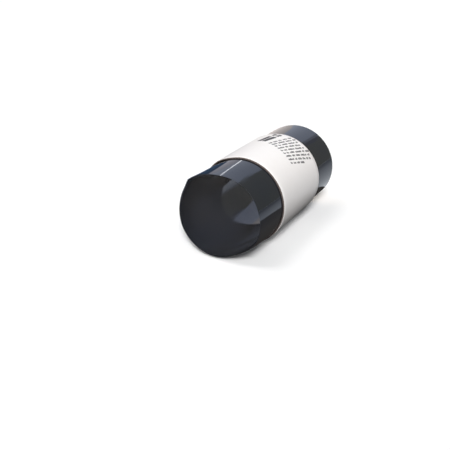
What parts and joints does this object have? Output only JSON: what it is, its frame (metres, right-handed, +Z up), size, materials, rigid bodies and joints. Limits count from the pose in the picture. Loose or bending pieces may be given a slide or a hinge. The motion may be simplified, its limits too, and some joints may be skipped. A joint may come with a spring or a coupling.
{
  "type": "roll of shim stock",
  "caption": "Thin blued spring steel strip wound into an open roll on its side, held by a wide plain card sleeve round its middle.",
  "frame": {"origin": "on the floor, under the middle of the roll", "axes": "+Y along the roll's axis, from the front end to the back end, +Z up, +X to the right seen from the front"},
  "size_m": [0.0775, 0.1524, 0.0763],
  "materials": {
    "blued_steel": "polished, blued",
    "white_card": "smooth white coated card"
  },
  "bodies": {
    "root": {"shim_roll": "blued_steel", "card_sleeve": "white_card"}
  },
  "joints": []
}
